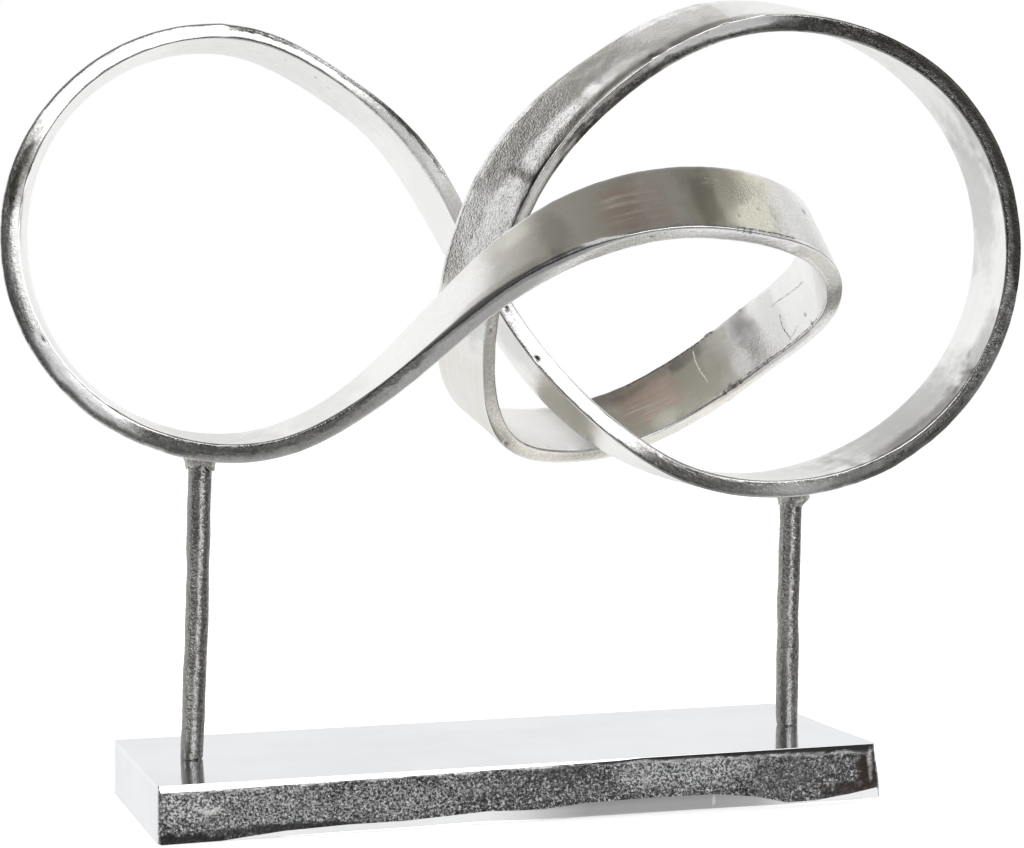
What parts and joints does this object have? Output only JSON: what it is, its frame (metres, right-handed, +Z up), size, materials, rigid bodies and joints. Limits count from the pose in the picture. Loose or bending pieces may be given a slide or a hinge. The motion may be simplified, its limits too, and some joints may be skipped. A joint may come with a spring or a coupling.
{
  "type": "abstract sculpture",
  "caption": "Abstract tabletop sculpture: a closed, knotted flat metal band with two large loops and a tilted oval, held up by slender rods on a rectangular cast block.",
  "frame": {"origin": "middle of the felt sheet's underside, on the surface that the sculpture stands on", "axes": "+X along the block, to the right seen from the front; +Y away from the viewer, across the block; +Z up"},
  "size_m": [0.5267, 0.1592, 0.403],
  "materials": {
    "left_casting": "hand polished faces, rough cast edges",
    "middle_casting": "hammered and brushed faces, rough cast edges",
    "right_casting": "hand polished faces, rough cast edges",
    "base_block": "polished top, sand cast sides",
    "felt": "felt",
    "rods": "cast bar, lightly polished",
    "weld_metal": "raw weld",
    "screws": "zinc plated"
  },
  "bodies": {
    "root": {"left_casting": "left_casting", "middle_casting": "middle_casting", "right_casting": "right_casting", "base_block": "base_block", "felt_sheet": "felt", "left_rod": "rods", "right_rod": "rods", "left_weld_bead": "weld_metal", "right_weld_bead": "weld_metal", "left_screw": "screws", "right_screw": "screws", "left_washer": "screws", "right_washer": "screws"}
  },
  "joints": []
}
